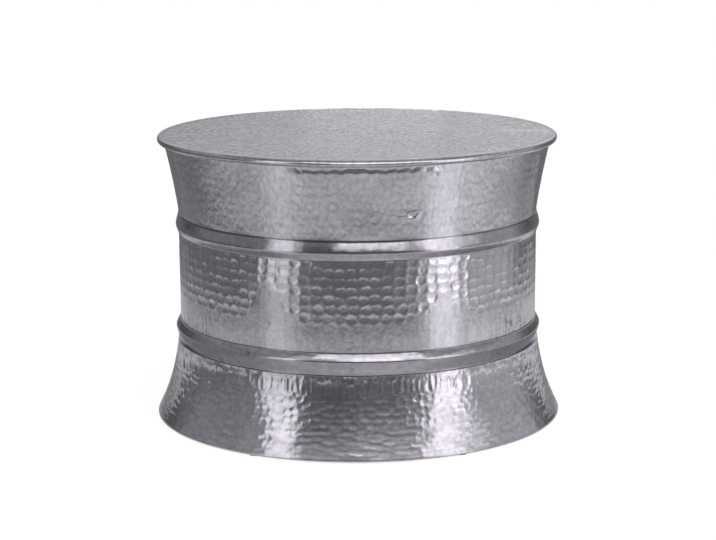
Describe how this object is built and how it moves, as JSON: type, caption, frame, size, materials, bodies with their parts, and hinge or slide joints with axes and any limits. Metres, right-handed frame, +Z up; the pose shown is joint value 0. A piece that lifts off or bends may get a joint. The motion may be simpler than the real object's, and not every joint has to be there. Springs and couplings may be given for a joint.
{
  "type": "drum side table",
  "caption": "Round hammered aluminium drum side table with a flared base and rim, smooth rings over its joints and a sheet-covered top.",
  "frame": {"origin": "on the floor, on the table's axis", "axes": "+Z up along the table's axis, +Y to the back, where the ends of the rings meet"},
  "size_m": [0.66, 0.66, 0.46],
  "materials": {
    "hammered_aluminium": "hand-hammered, polished",
    "ring_aluminium": "smooth, polished, slightly wavy",
    "rivet_aluminium": "plain mill finish",
    "zinc_steel": "zinc plated",
    "board": "raw fibreboard",
    "pine": "planed, unfinished softwood",
    "rubber": "matt pale grey, non-marking"
  },
  "bodies": {
    "root": {"top_sheet": "hammered_aluminium", "top_board": "board", "batten_a": "pine", "batten_b": "pine", "batten_screws": "zinc_steel", "top_screws": "zinc_steel", "upper_flare": "hammered_aluminium", "middle_drum": "hammered_aluminium", "lower_flare": "hammered_aluminium", "upper_hoop": "zinc_steel", "lower_hoop": "zinc_steel", "upper_hoop_rivets": "rivet_aluminium", "lower_hoop_rivets": "rivet_aluminium", "upper_ring": "ring_aluminium", "lower_ring": "ring_aluminium", "upper_ring_joiner": "rivet_aluminium", "lower_ring_joiner": "rivet_aluminium", "base_hoop": "zinc_steel", "base_rivets": "rivet_aluminium", "foot_bumper_1": "rubber", "foot_bumper_2": "rubber", "foot_bumper_3": "rubber", "foot_bumper_4": "rubber", "foot_bumper_5": "rubber", "foot_bumper_6": "rubber"}
  },
  "joints": []
}
